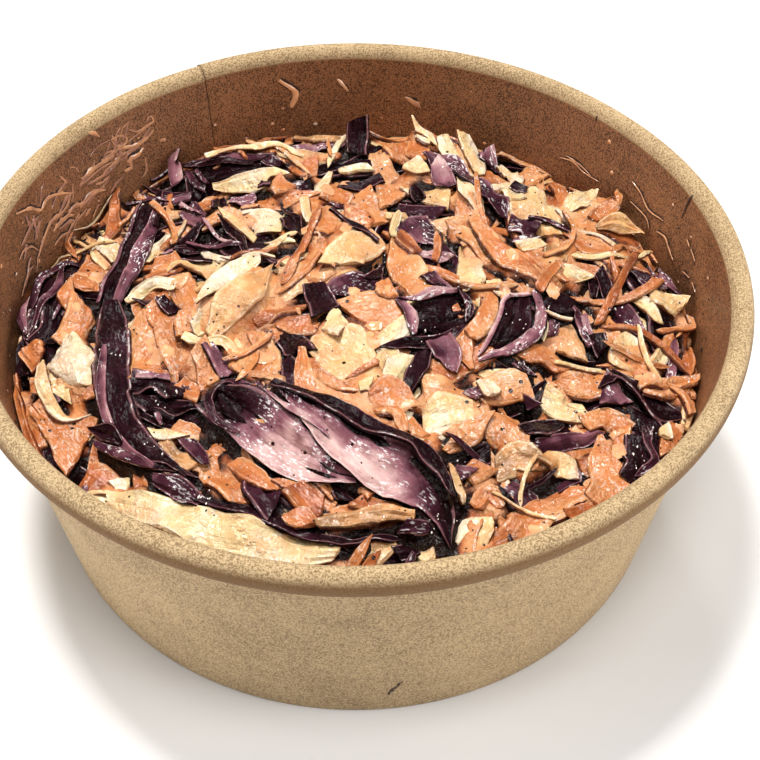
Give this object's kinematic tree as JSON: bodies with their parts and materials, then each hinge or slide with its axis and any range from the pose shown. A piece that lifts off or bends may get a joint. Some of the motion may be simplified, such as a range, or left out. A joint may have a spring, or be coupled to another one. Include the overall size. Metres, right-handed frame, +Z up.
{
  "type": "bowl of coleslaw",
  "caption": "Round kraft-board salad bowl with a curled rim, filled with a loose heap of dressed red and white cabbage and grated carrot.",
  "frame": {"origin": "centre of the ring that the bowl stands on, in the plane of the table", "axes": "+Z up through the bowl's mouth; -Y towards the viewer; +X to the viewer's right"},
  "size_m": [0.15, 0.15, 0.0575],
  "materials": {
    "kraft_board": "matt unbleached kraft board",
    "slaw": "wet, creamy dressing over shredded vegetables",
    "red_cabbage": "wet dark purple leaf with paler cut edges",
    "carrot": "wet grated carrot",
    "white_cabbage": "wet pale cabbage",
    "dressing": "thin creamy dressing"
  },
  "bodies": {
    "root": {"bowl_wall": "kraft_board", "bowl_base": "kraft_board", "coleslaw": "slaw"}
  },
  "joints": []
}
